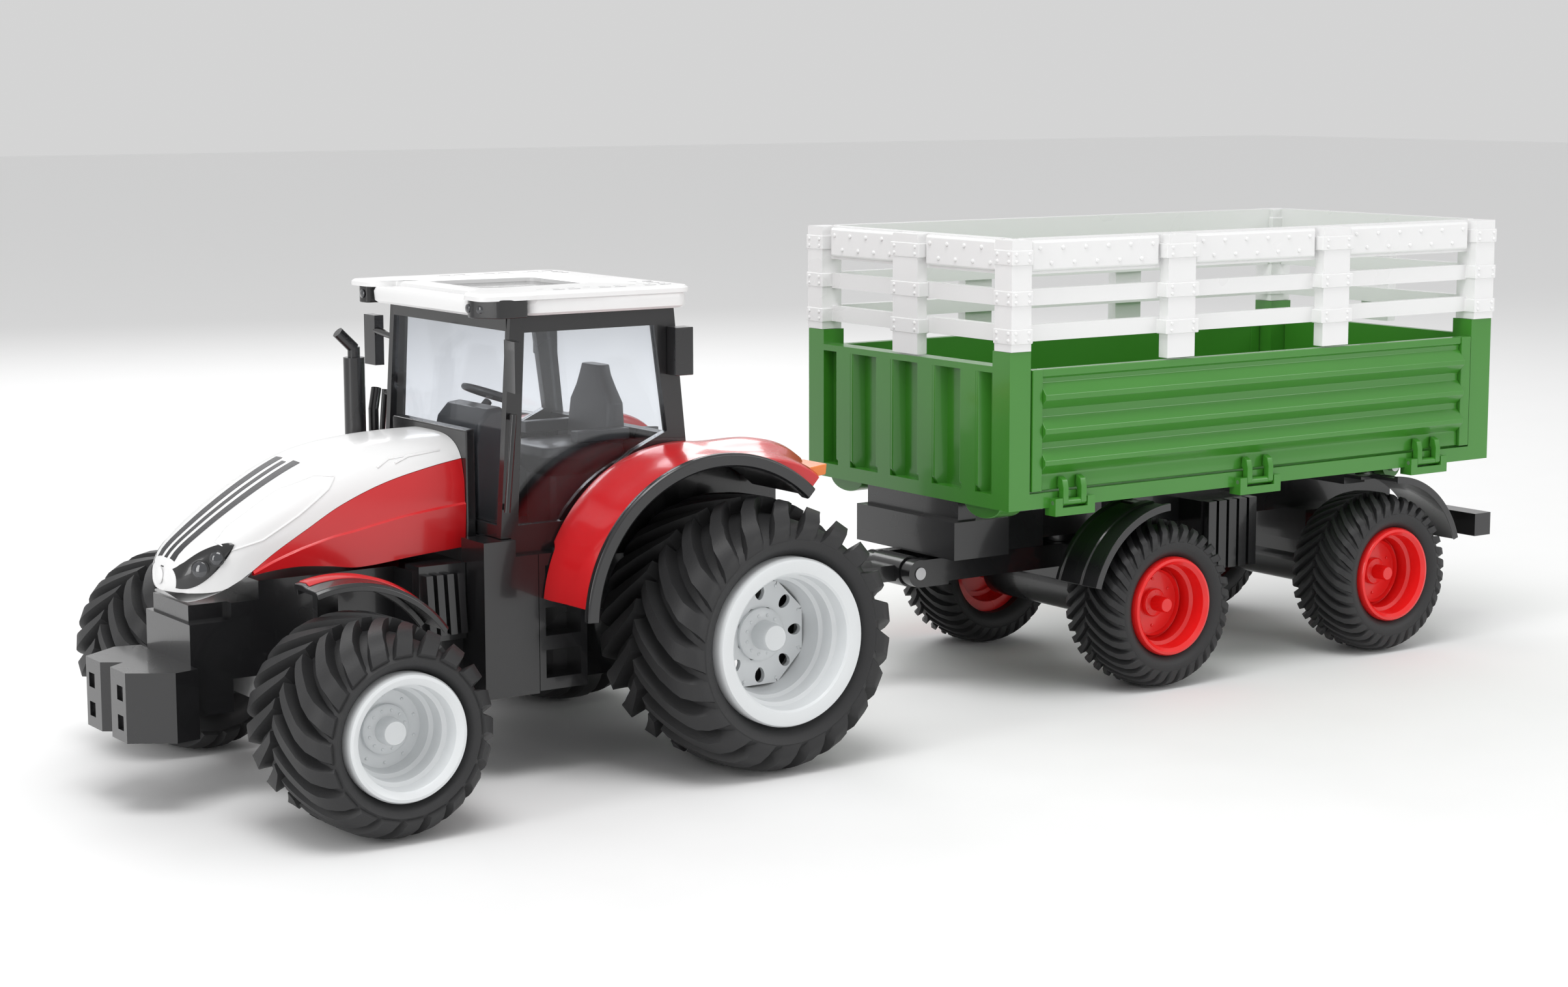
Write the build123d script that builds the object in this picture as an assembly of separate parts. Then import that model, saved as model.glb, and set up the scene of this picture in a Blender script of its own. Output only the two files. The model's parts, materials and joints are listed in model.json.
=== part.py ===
from build123d import *
import math
import os

os.makedirs("parts", exist_ok=True)

# Toy farm tractor with a tipping four-wheel trailer, about 1:24 scale.
# Millimetres.  Working axes: +X to the tractor's nose, +Y to its left side,
# +Z up, ground at Z = 0, tractor rear axle at X = 0.

# ---- driving dimensions -------------------------------------------------
NOSE_X = 168.0              # front face of the front weight
TAIL_X = -330.0             # rear face of the trailer bumper
CENTRE_X = (NOSE_X + TAIL_X) / 2

REAR_R = 38.5               # tractor rear tyre radius, also its axle height
REAR_RIM_R = 24.0
REAR_Y = (34.0, 81.0)       # tyre inner and outer side
FRONT_X = 120.0             # tractor wheelbase
FRONT_R = 28.0
FRONT_RIM_R = 17.0
FRONT_Y = (38.0, 83.0)
KING_Y = 32.0               # steering pivot
STEER_ARM = 12.0            # pivot to tie rod pin

TUB_HALF = 26.0             # half width of the tractor chassis
TUB_LOW = 24.0
TUB_TOP = 60.0

CAB_SIDE = 36.0             # outer face of the cab side frames
CAB_TOP = 130.0
CAB_REAR = 6.6              # back face of the cab's rear wall
ROOF_TOP = 136.5

HITCH_X = -46.0             # drawbar pin
BOSS = (-96.5, 38.4)        # drawbar to dolly pivot, X and Z
DOLLY_X = -165.0            # trailer front axle and turntable
TRAIL_X = -266.0            # trailer rear axle
TRAIL_R = 27.0
TRAIL_RIM_R = 16.0
TRAIL_Y = (32.0, 57.0)

BED_FRONT = -99.8
BED_REAR = -314.4
BED_HALF = 53.1
BED_LOW = 62.9
POST_TOP = 111.8
RACK_TOP = 146.0
BED_PIVOT = (-300.0, 58.0)  # tipping hinge, X and Z
GATE_PIN_Z = 64.5
GATE_PIN_OUT = 1.5          # hinge line of a gate, outside the bed rail

PIN_FIT = 0.06              # radial running clearance of pins and axles
GAP = 0.3


# ---- helpers ------------------------------------------------------------
def box(x0, x1, y0, y1, z0, z1):
    centre = Pos((x0 + x1) / 2, (y0 + y1) / 2, (z0 + z1) / 2)
    return centre * Box(abs(x1 - x0), abs(y1 - y0), abs(z1 - z0))


def rod_x(x0, x1, y, z, r):
    return Pos((x0 + x1) / 2, y, z) * Rot(0, 90, 0) * Cylinder(r, abs(x1 - x0))


def rod_y(x, z, r, y0, y1):
    return Pos(x, (y0 + y1) / 2, z) * Rot(90, 0, 0) * Cylinder(r, abs(y1 - y0))


def rod_z(x, y, r, z0, z1):
    return Pos(x, y, (z0 + z1) / 2) * Cylinder(r, abs(z1 - z0))


def rod(start, end, r):
    """Round bar between two points."""
    a = Vector(*start)
    b = Vector(*end)
    plane = Plane(origin=a, z_dir=(b - a))
    return extrude(plane * Circle(r), amount=(b - a).length)


def prism_y(points, y0, y1):
    """Outline in X and Z, given thickness along Y."""
    face = Face(Wire.make_polygon([(x, y0, z) for x, z in points]))
    return extrude(face, amount=y1 - y0, dir=(0, 1, 0))


def prism_x(points, x0, x1):
    """Outline in Y and Z, given thickness along X."""
    face = Face(Wire.make_polygon([(x0, y, z) for y, z in points]))
    return extrude(face, amount=x1 - x0, dir=(1, 0, 0))


def prism_z(points, z0, z1):
    """Outline in X and Y, given thickness along Z."""
    face = Face(Wire.make_polygon([(x, y, z0) for x, y in points]))
    return extrude(face, amount=z1 - z0, dir=(0, 0, 1))


def turned(profile, x, z):
    """Ring about a wheel axis; profile is a list of (radius, y)."""
    face = Face(Wire.make_polygon([(r, y, 0) for r, y in profile]))
    return Pos(x, 0, z) * revolve(face, axis=Axis.Y)


def arc_points(cx, cz, r, a0, a1, count):
    step = (a1 - a0) / count
    angles = [math.radians(a0 + step * i) for i in range(count + 1)]
    return [(cx + r * math.cos(a), cz + r * math.sin(a)) for a in angles]


def arc_shell(cx, cz, r0, r1, a0, a1, y0, y1, count=14):
    """Curved plate around a wheel axis, as used for mudguards."""
    outline = arc_points(cx, cz, r1, a0, a1, count)
    outline += arc_points(cx, cz, r0, a1, a0, count)
    return prism_y(outline, y0, y1)


def other_side(shape):
    return mirror(shape, about=Plane.XZ)


def pair(shape):
    return [shape, other_side(shape)]


def group(shapes):
    """Separate solids kept together in one node."""
    solids = []
    for shape in shapes:
        solids += list(shape.solids())
    return Compound(children=solids)


def save(name, shape):
    placed = Pos(-CENTRE_X, 0, 0) * shape
    placed.label = name
    export_step(placed, "parts/" + name + ".step")


# ---- wheels -------------------------------------------------------------
def tyre(x, r_out, r_base, r_in, y0, y1, lugs, lug_thick, slant):
    """Tyre with slanted lugs along both shoulders."""
    round_off = (r_out - r_in) * 0.28
    profile = [
        (r_in, y0 + 2), (r_in + 2, y0), (r_base - round_off, y0),
        (r_base, y0 + round_off), (r_base, y1 - round_off),
        (r_base - round_off, y1), (r_in + 2, y1), (r_in, y1 - 2),
    ]
    body = turned(profile, x, r_out)
    width = (y1 - y0) / 2
    tall = r_out - r_base + 1.2
    centre_r = math.sqrt(r_out ** 2 - (lug_thick * 0.8) ** 2) - tall / 2
    bars = []
    for side in (0, 1):
        y_mid = y0 + width * (0.5 + side) + (0.4 if side == 0 else -0.4)
        turn = slant if side == 0 else -slant
        for i in range(lugs):
            angle = 360.0 / lugs * (i + 0.5 * side)
            bar = Box(tall, width * 0.9, lug_thick)
            bars.append(Pos(x, y_mid, r_out) * Rot(0, angle, 0)
                        * Pos(centre_r, 0, 0) * Rot(turn, 0, 0) * bar)
    lugged = body.fuse(*bars)
    return lugged & rod_y(x, r_out, r_out, y0, y1)


def rim(x, z, r, y0, y1, web_y, hub_r, bore_r, hub_y, holes):
    """Dished wheel centre: barrel, web disc, hub and a ring of bolts."""
    wall = 1.6
    barrel = turned([
        (r - wall, y0 + 1), (r, y0 + 1), (r, y1 + 0.4), (r - wall, y1 + 0.4),
    ], x, z)
    web = rod_y(x, z, r - wall + 0.3, web_y, web_y + 3)
    hub = rod_y(x, z, hub_r, hub_y[0], hub_y[1])
    body = barrel + web + hub
    for i in range(8):
        a = math.radians(45 * i + 22.5)
        bolt_x = x + (hub_r - 2.2) * math.cos(a)
        bolt_z = z + (hub_r - 2.2) * math.sin(a)
        body += rod_y(bolt_x, bolt_z, 0.8, hub_y[1] - 1, hub_y[1] + 0.8)
    hole_r = (r + hub_r) / 2 - 0.4
    for i in range(holes):
        a = math.radians(360 / holes * i)
        hx = x + hole_r * math.cos(a)
        hz = z + hole_r * math.sin(a)
        body -= rod_y(hx, hz, (r - hub_r) * 0.24, web_y - 1, web_y + 4)
    return body - rod_y(x, z, bore_r, hub_y[0] - 1, hub_y[1] - 4)


def tractor_rear_wheels():
    shaft = rod_y(0, REAR_R, 2.5, -68, 68)
    wheel = rim(0, REAR_R, REAR_RIM_R, REAR_Y[0], REAR_Y[1], 58, 9, 2.5,
                (34.5, 72), 8)
    rubber = tyre(0, REAR_R, REAR_R - 3.2, REAR_RIM_R, REAR_Y[0], REAR_Y[1],
                  20, 3.2, 34)
    save("rear_axle_shaft", shaft)
    save("rear_rims", group(pair(wheel)))
    save("rear_tyres", group(pair(rubber)))


def tractor_front_wheels():
    wheel = rim(FRONT_X, FRONT_R, FRONT_RIM_R, FRONT_Y[0], FRONT_Y[1], 62,
                7, 2.5 + PIN_FIT, (43, 74), 0)
    rubber = tyre(FRONT_X, FRONT_R, FRONT_R - 2.6, FRONT_RIM_R,
                  FRONT_Y[0], FRONT_Y[1], 18, 2.8, 34)
    save("front_rim_left", wheel)
    save("front_rim_right", other_side(wheel))
    save("front_tyre_left", rubber)
    save("front_tyre_right", other_side(rubber))


def trailer_wheels():
    for x, label in ((DOLLY_X, "trailer_front"), (TRAIL_X, "trailer_rear")):
        shaft = rod_y(x, TRAIL_R, 2.0, -48, 48)
        wheel = rim(x, TRAIL_R, TRAIL_RIM_R, TRAIL_Y[0], TRAIL_Y[1] - 0.4,
                    42, 5.5, 2.0, (30.5, 52), 0)
        rubber = tyre(x, TRAIL_R, TRAIL_R - 1.2, TRAIL_RIM_R,
                      TRAIL_Y[0], TRAIL_Y[1], 30, 1.6, 28)
        save(label + "_axle", shaft)
        save(label + "_rims", group(pair(wheel)))
        save(label + "_tyres", group(pair(rubber)))


# ---- tractor chassis and steering --------------------------------------
def tractor_chassis():
    tub = box(-30, 89.4, -TUB_HALF, TUB_HALF, TUB_LOW, TUB_TOP)
    tub += box(89.4, 138, -15, 15, 34, TUB_TOP)
    tub -= rod_y(0, REAR_R, 2.5 + PIN_FIT, -40, 40)
    for s in (-1, 1):
        sleeve = rod_y(0, REAR_R, 9, min(s * 25, s * 33.6), max(s * 25, s * 33.6))
        tub += sleeve - rod_y(0, REAR_R, 2.5 + PIN_FIT, -40, 40)
    tub += box(138, 150, -15, 15, 25, 50)
    tub += box(137.9, 149, -12, 12, 45, 54.8)
    tub -= box(130, 150, -20, 20, 55, 61)
    tub -= box(130.9, 138.2, -20, 20, 54.8, 61)
    save("chassis_tub", tub)

    outline = [(150, -20), (157, -21.5), (168, -14), (168, 14), (157, 21.5),
               (150, 20)]
    weight = prism_z(outline, 20, 39)
    weight -= prism_z([(163, 0), (168.5, -4), (168.5, 4)], 19, 40)
    for y in (-10, 10):
        weight -= box(166.8, 169, y - 2, y + 2, 31, 35)
        weight -= box(166.8, 169, y - 2, y + 2, 23, 27)
    save("front_weight", weight)


def steering():
    beam = box(114, 126, -27, 27, 24.3, 34)
    for y in (-KING_Y, KING_Y):
        beam += rod_z(FRONT_X, y, 4.6, 24.3, 31.7)
        beam += box(116, 124, min(y, y * 0.7), max(y, y * 0.7), 24.3, 31.7)
        beam -= rod_z(FRONT_X, y, 1.5, 20, 40)
    save("front_axle_beam", beam)
    pin = rod_z(FRONT_X, KING_Y, 1.5, 19.6, 36.4)
    save("kingpins", group(pair(pin)))

    knuckle = box(115.5, 124.5, 37.4, 40.2, 20, 36)
    for z0, z1 in ((20, 24), (32, 36)):
        lug = rod_z(FRONT_X, KING_Y, 4.5, z0, z1)
        lug += box(115.5, 124.5, KING_Y, 38, z0, z1)
        knuckle += lug
    arm = box(FRONT_X - STEER_ARM - 2.4, FRONT_X, 30, 34, 20, 23.7)
    knuckle += arm
    knuckle += rod_z(FRONT_X - STEER_ARM, KING_Y, 1.5, 16, 21)
    knuckle -= rod_z(FRONT_X, KING_Y, 1.5 + PIN_FIT, 19, 38)
    knuckle += rod_y(FRONT_X, FRONT_R, 4, 40, 42.6)
    knuckle += rod_y(FRONT_X, FRONT_R, 2.5, 42, 69)
    knuckle += box(117, 123, 33.9, 36.8, 35, FRONT_R + 35)
    save("knuckle_left", knuckle)
    save("knuckle_right", other_side(knuckle))

    guard = arc_shell(FRONT_X, FRONT_R, 34, 36, 74, 145, 36.8, 51)
    guard += arc_shell(FRONT_X, FRONT_R, 32.5, 34.2, 76, 143, 36.8, 38)
    save("front_fender_left", guard)
    save("front_fender_right", other_side(guard))

    bar_x = FRONT_X - STEER_ARM
    tie = box(bar_x - 3.5, bar_x + 3.5, -35.2, 35.2, 16.6, 19.6)
    for y in (-KING_Y, KING_Y):
        tie -= box(bar_x - 2.4, bar_x + 2.6, y - 1.75, y + 1.75, 16, 20)
    save("tie_rod", tie)


# ---- tractor bodywork ---------------------------------------------------
def bonnet():
    side = [(70, TUB_TOP), (70, 95.5), (106, 93), (115, 89.7), (150, 68.5),
            (150.8, 55), (138, 55), (131, TUB_TOP)]
    shell = prism_y(side, -21, 21)
    plan = [(69, -20), (118, -20), (151, -13), (151, 13), (118, 20), (69, 20)]
    shell = shell & prism_z(plan, 50, 100)
    for s in (-1, 1):
        wedge = prism_x([(s * 13, 101), (s * 13, 97), (s * 22, 89), (s * 22, 101)],
                        60, 160)
        shell -= wedge
    save("hood", shell)

    profile = [(71, 64.5), (71, 89), (100, 86), (134, 66), (134, 63.6),
               (103, 61.6)]
    panel = prism_y(profile, 10, 24)
    skin = prism_z([(70, 20), (118, 20), (140, 15.33), (140.6, 17.9),
                    (118.4, 22.6), (70, 22.6)], 55, 95)
    panel = panel & skin
    save("hood_panels", group(pair(panel)))

    lamp = prism_z([(151, 6.5), (151.9, 6.5), (151.9, 13.6), (139.2, 16.9),
                    (139, 15.55), (151, 13)], 62, 67.2)
    save("headlamps", group(pair(lamp)))


def engine_side():
    plate = box(74.2, 88.6, TUB_HALF, 28.5, 40, TUB_TOP)
    plate += box(74.2, 88.6, 20.2, 28.5, TUB_TOP, 61.4)
    for i in range(4):
        x = 75 + 3.2 * i
        plate += prism_y([(x, 42), (x + 2, 42), (x + 3, 59), (x + 1, 59)], 28, 31)
    save("engine_vents", group(pair(plate)))

    tank = prism_y([(57, 24), (74, 24), (74, 68), (64, 68), (64, 63.4),
                    (57, 63.4)], TUB_HALF, 39)
    tank -= box(56, 64.2, 20, 33.4, TUB_TOP, 70)
    save("side_tanks", group(pair(tank)))

    steps = box(41.5, 56.8, TUB_HALF, 39, 24.6, 63.4)
    for z in (28, 40, 52):
        steps -= box(43.5, 54.8, 31, 40, z, z + 8)
    steps -= box(40, 58, 20, 33.4, TUB_TOP, 70)
    save("cab_steps", group(pair(steps)))

    foot = box(74.5, 81.5, -33.6, -27, 61.4, 66)
    stack = foot + rod_z(78, -30.5, 1.7, 65, 91)
    stack += rod_z(78, -30.5, 3.1, 90, 114)
    stack += rod_z(78, -30.5, 1.8, 114, 117)
    stack += rod((78, -30.5, 116.6), (83, -30.5, 121.5), 1.7)
    save("exhaust_stack", stack)

    pipe = rod((70.6, -33.5, 68), (70.6, -33.5, 98), 1.5)
    pipe += Pos(70.6, -33.5, 98) * Sphere(1.5)
    pipe += rod((70.6, -33.5, 98), (68.8, -35, 104), 1.5)
    save("intake_pipe", pipe)


def cab():
    floor = box(CAB_REAR, 63.8, -31.5, 31.5, TUB_TOP, 63.4)
    floor += box(CAB_REAR, CAB_REAR + 3, -31.5, 31.5, 63, 89.8)
    floor += box(67.4, 70, -20, 20, TUB_TOP, 90)
    floor += box(62, 68, -20, 20, TUB_TOP, 66)
    save("cab_floor", floor)

    outer = [(67, 68.2), (63, CAB_TOP), (10, CAB_TOP), (6, 89.6), (20, 84.6),
             (33.6, 77.2), (41.6, 69), (46.4, 63.4), (63.8, 63.4),
             (63.8, 68.2)]
    window = [(61.5, 71.5), (58.7, 125), (16.6, 125), (12.5, 94.5), (24, 89.5),
              (36, 81), (44.3, 71.5)]
    side = prism_y(outer, 33.5, CAB_SIDE) - prism_y(window, 30, 40)
    frame = side + other_side(side)
    frame += box(58.7, 63.3, -34, 34, 125.5, CAB_TOP)
    frame += box(63, 66.8, -34, 34, 68.2, 71.6)
    frame += box(10, 14, -34, 34, 125.5, CAB_TOP)
    frame += box(CAB_REAR, CAB_REAR + 4, -34, 34, 89.8, 93)
    save("cab_frame", frame)

    window_in = [(61.6, 71.5), (58.8, 125.1), (16.5, 125.1), (12.4, 94.6),
                 (24, 89.4), (36, 80.9), (44.3, 71.4)]
    pane = prism_y(window_in, 34.1, 35.1) & prism_y(window, 30, 40)
    front = prism_y([(65.6, 71.6), (62.4, 125.5), (61.4, 125.5),
                     (64.6, 71.6)], -33.4, 33.4)
    back = prism_y([(8.2, 93), (11.6, 125.5), (12.6, 125.5), (9.2, 93)],
                   -33.4, 33.4)
    save("cab_glass", group(pair(pane) + [front, back]))

    roof = box(5, 59.8, -41, 41, CAB_TOP, ROOF_TOP)
    roof += box(59, 73, -29.8, 29.8, CAB_TOP, ROOF_TOP)
    for s in (-1, 1):
        roof -= prism_x([(s * 42, 133.5), (s * 42, 137), (s * 38.5, 137)],
                        4, 74)
    roof -= prism_z([(4, 42), (4, 38), (9, 42)], 129, 138)
    roof -= prism_z([(4, -42), (4, -38), (9, -42)], 129, 138)
    roof -= box(28, 69, -19, 19, ROOF_TOP - 1, ROOF_TOP + 1)
    for s in (-1, 1):
        roof -= box(59.8, 76, s * 29.8, s * 45, 129, 138)
    save("cab_roof", roof)
    pod = prism_z([(60, 30), (74.5, 30), (73.5, 37), (68, 42), (60, 42)],
                  CAB_TOP, 136)
    return pair(pod)


def cab_fittings():
    dash = prism_y([(50, 63.4), (61, 63.4), (61, 94), (57, 101.8), (52, 99)],
                   -12, 12)
    dash += rod((54.5, 0, 98), (50.6, 0, 101.2), 1.3)
    save("dashboard", dash)
    wheel = Plane(origin=(49.5, 0, 104), z_dir=(-0.35, 0, 0.94)) * Torus(8.2, 0.9)
    wheel += rod((46.8, -8, 103), (46.8, 8, 103), 0.8)
    wheel += rod((49.5, 0, 104), (46.6, 0, 102.9), 1.2)
    save("steering_wheel", wheel)
    seat = box(14, 34, -9, 9, 63.4, 82) + box(11, 36, -12, 12, 82, 88)
    seat += prism_y([(11, 86), (17, 86), (17, 109.6), (12.4, 109.6)], -11, 11)
    save("seat", seat)
    right = rod((60, -36.1, 118), (60.5, -51, 119.5), 1.1)
    right += box(58.5, 61.5, -57, -50, 109, 124)
    left = rod((62.9, 36.7, 118), (66, 43, 118.5), 1.1)
    left += prism_z([(66, 42), (68, 41.2), (69.6, 50), (67.8, 50.6)], 110, 124)
    save("side_mirrors", group([right, left]))
    handles = []
    for s in (-1, 1):
        bar = rod((66.5, s * 39, 76), (64, s * 39, 103), 0.9)
        bar += rod((66.5, s * 39.3, 77), (65.3, s * 36.5, 77), 0.9)
        bar += rod((64, s * 39.3, 102), (63.3, s * 36.5, 102), 0.9)
        handles.append(bar)
    save("grab_handles", group(handles))
    lamp = box(6.5, 12.5, CAB_SIDE, 41, 110, 124)
    return pair(lamp)


def rear_fenders():
    guard = arc_shell(11, 46, 42, 44, 6, 134, CAB_SIDE, 62, 20)
    tail = prism_y([(12, 89.9), (-27, 86), (-26, 80), (-19.5, 77.8),
                    (-10, 82), (0, 86.6), (12, 88)], CAB_SIDE, 62)
    wall = [(44, TUB_TOP), (50, TUB_TOP)] + arc_points(11, 46, 44, 16, 90, 12)
    wall += [(-10, 87), (-27, 86), (-27, TUB_TOP)]
    inner = prism_y(wall, 31.7, 33.3)
    bridge = arc_shell(11, 46, 42, 44, 20, 88, 33, CAB_SIDE, 12)
    bridge -= prism_y([(5.8, 89.6), (20, 84.6), (33.6, 77.2), (41.6, 69),
                       (46.4, 63.4), (60, 63.4), (60, 95), (5.8, 95)],
                      33.2, 37)
    tail_bridge = prism_y([(5.5, 88.9), (-27, 86), (-26, 82), (5.5, 86)], 33, 37)
    body = guard + tail + inner + tail_bridge
    body -= box(41, 62, 33.4, 39.3, 20, 64)
    body -= prism_y([(5.8, 89.6), (20, 84.6), (33.6, 77.2), (41.6, 69),
                     (46.4, 63.4), (70, 63.4), (70, 95), (5.8, 95)], 33.3, CAB_SIDE)
    body -= box(-9, 10, 30, 35.4, 87, 92)
    save("rear_fenders", group(pair(body)))
    lip = arc_shell(11, 46, 40.6, 44.6, 2, 134, 62, 64, 20)
    save("fender_lips", group(pair(lip)))


def hitch():
    plate = box(-34, -30, -14, 14, 29, 56)
    for z0, z1 in ((30.5, 34.5), (41.5, 45.5)):
        ear = box(HITCH_X, -32, -7, 7, z0, z1) + rod_z(HITCH_X, 0, 7, z0, z1)
        plate += ear
    plate -= rod_z(HITCH_X, 0, 2.0, 28, 48)
    save("rear_hitch", plate)
    pin = rod_z(HITCH_X, 0, 2.0, 29.5, 47) + rod_z(HITCH_X, 0, 3.4, 45.6, 48.4)
    save("hitch_pin", pin)


# ---- trailer running gear ----------------------------------------------
def drawbar():
    bx, bz = BOSS
    bar = box(bx, HITCH_X, -5.5, 5.5, 35.4, 40.6)
    bar += rod_z(HITCH_X, 0, 6, 35.4, 40.6)
    bar += rod_y(bx, bz, 5, -7.9, 7.9)
    bar -= rod_z(HITCH_X, 0, 2.0 + PIN_FIT, 30, 45)
    bar -= rod_y(bx, bz, 2.0, -10, 10)
    save("drawbar", bar)
    save("drawbar_pin", rod_y(bx, bz, 2.0, -13.4, 13.4))


def dolly():
    bx, bz = BOSS
    frame = box(-160, -106, -13, 13, 35, 42.6)
    for s in (-1, 1):
        ear = box(-108, bx, s * 8.4, s * 13, 33.9, 42.6)
        ear += rod_y(bx, bz, 4.4, min(s * 8.4, s * 13), max(s * 8.4, s * 13))
        frame += ear
    frame += box(-175, -155, -24, 24, 34, 42.6)
    frame += rod_y(DOLLY_X, TRAIL_R, 8.5, -30, 30)
    frame += box(-173, -157, -20, 20, 27, 35)
    for s in (-1, 1):
        frame += box(-168, -158, s * 24, s * 30.6, 35, 39)
        frame += box(-165, -159, s * 28, s * 30.6, 35, 60)
        frame += box(-165, -159, s * 28, s * 36, 57.4, 60)
    frame -= rod_y(bx, bz, 2.0 + PIN_FIT, -20, 20)
    frame -= rod_y(DOLLY_X, TRAIL_R, 2.0 + PIN_FIT, -40, 40)
    frame -= rod_z(DOLLY_X, 0, 3.0 + PIN_FIT, 31, 50)
    save("dolly_frame", frame)
    guard = arc_shell(DOLLY_X, TRAIL_R, 31.6, 33, 16, 86, 36, 56, 12)
    guard += box(-165, -159, 36, 44, 58.4, 60)
    save("dolly_fenders", group(pair(guard)))


def trailer_chassis():
    frame = box(-122, -100, -26, 26, 44, 56)
    frame += box(-142, -120, -19, 19, 44, 56)
    frame += box(-306, -140, -16, 16, 46, 56)
    frame += rod_z(DOLLY_X, 0, 13, 42.8, 46.5)
    frame += box(-276, -256, -24, 24, 35, 46)
    frame += box(-274, -258, -20, 20, 27, 36)
    frame += rod_y(TRAIL_X, TRAIL_R, 8.5, -30, 30)
    frame += box(-110, -103, -24, 24, 55, 62.7)
    frame += box(-304, -296, -16, 16, 55, 60.4)
    frame += box(-304, -290, -16, 16, 34, 47)
    for s in (-1, 1):
        frame += box(-272, -262, s * 15, s * 36, 56, 59.6)
    frame += box(-272, -262, -16, 16, 55, 59.6)
    frame -= rod_y(TRAIL_X, TRAIL_R, 2.0 + PIN_FIT, -40, 40)
    frame -= rod_y(*BED_PIVOT, 2.0, -30, 30)
    frame -= rod_z(DOLLY_X, 0, 3.0, 40, 54)
    save("trailer_chassis", frame)
    king = rod_z(DOLLY_X, 0, 3.0, 36, 54)
    save("trailer_pins", group([king, rod_y(*BED_PIVOT, 2.0, -24, 24)]))

    guard = arc_shell(TRAIL_X, TRAIL_R, 31.6, 33, 94, 163, 36, 56, 12)
    guard += box(-272, -262, 36, 44, 58.2, 59.6)
    save("trailer_rear_fenders", group(pair(guard)))

    bumper = box(-330, -322, -42, 42, 33, 41)
    for s in (-1, 1):
        bumper += box(-323, -304, s * 9, s * 14, 35, 41)
    save("rear_bumper", bumper)

    pleats = []
    for i in range(5):
        x = -226.6 + 4.6 * i
        pleats.append(box(x, x + 3.4, 26, 30, 31, 54))
    case = box(-227, -204, 16, 27, 31, 54)
    for p in pleats:
        case += p
    save("side_boxes", group(pair(case)))


# ---- trailer bed --------------------------------------------------------
HINGE_X = ((-132, -116), (-212, -194), (-291, -273.5))
HINGE_Y = ((-34, -22), (22, 34))


def bed():
    floor = box(BED_REAR, BED_FRONT, -50, 50, BED_LOW, 66)
    frame = floor
    for s in (-1, 1):
        frame += box(BED_REAR, BED_FRONT, s * 49.4, s * BED_HALF, BED_LOW, 67.7)
        frame += box(-108, BED_FRONT, s * 44.6, s * BED_HALF, BED_LOW, POST_TOP)
        frame += box(BED_REAR, -304.6, s * 44.6, s * BED_HALF, BED_LOW, POST_TOP)
        for x in (-104, -309.5):
            frame -= box(x - 2.5, x + 2.5, s * 46.4, s * 50.4, POST_TOP - 8, 113)
    frame += box(BED_REAR, BED_REAR + 3.4, -50, 50, BED_LOW, 67.7)
    frame += box(-106.2, -103.8, -45, 45, 65, 107)
    frame += box(-106.2, BED_FRONT, -45, 45, 64, 67.4)
    frame += box(-106.2, BED_FRONT + 0.0, -45, 45, 105, 107)
    for i in range(4):
        y = -33 + 22 * i
        frame += box(-104, BED_FRONT, y - 3.4, y + 3.4, 67, 105.5)
    for s in (-1, 1):
        ear = box(-305, -295, s * 17, s * 22, 58, 63.4)
        ear += rod_y(*BED_PIVOT, 4.4, min(s * 17, s * 22), max(s * 17, s * 22))
        frame += ear
        for x0, x1 in HINGE_X:
            frame += box(x0, x1, s * 51, s * 56, 60.4, GATE_PIN_Z - 1.6)
            for x in (x0, x1 - 3):
                frame += box(x, x + 3, s * 52, s * 56, 60.4, GATE_PIN_Z + 1.4)
    for y0, y1 in HINGE_Y:
        frame += box(-317.4, BED_REAR + 2, y0, y1, 59.5, GATE_PIN_Z - 1.6)
        for y in (y0, y1 - 3):
            frame += box(-317.4, BED_REAR + 2, y, y + 3, 59.5, GATE_PIN_Z + 1.4)
    pin_y = BED_HALF + GATE_PIN_OUT
    pin_x = BED_REAR - GATE_PIN_OUT
    pins = []
    for s in (-1, 1):
        for x0, x1 in HINGE_X:
            frame -= rod_x(x0 - 1, x1 + 1, s * pin_y, GATE_PIN_Z, 0.7)
            pins.append(rod_x(x0, x1, s * pin_y, GATE_PIN_Z, 0.7))
    for y0, y1 in HINGE_Y:
        frame -= rod_y(pin_x, GATE_PIN_Z, 0.7, y0 - 1, y1 + 1)
        pins.append(rod_y(pin_x, GATE_PIN_Z, 0.7, y0, y1))
    frame -= rod_y(*BED_PIVOT, 2.0 + PIN_FIT, -30, 30)
    save("bed", frame)
    save("hinge_pins", group(pins))


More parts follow.
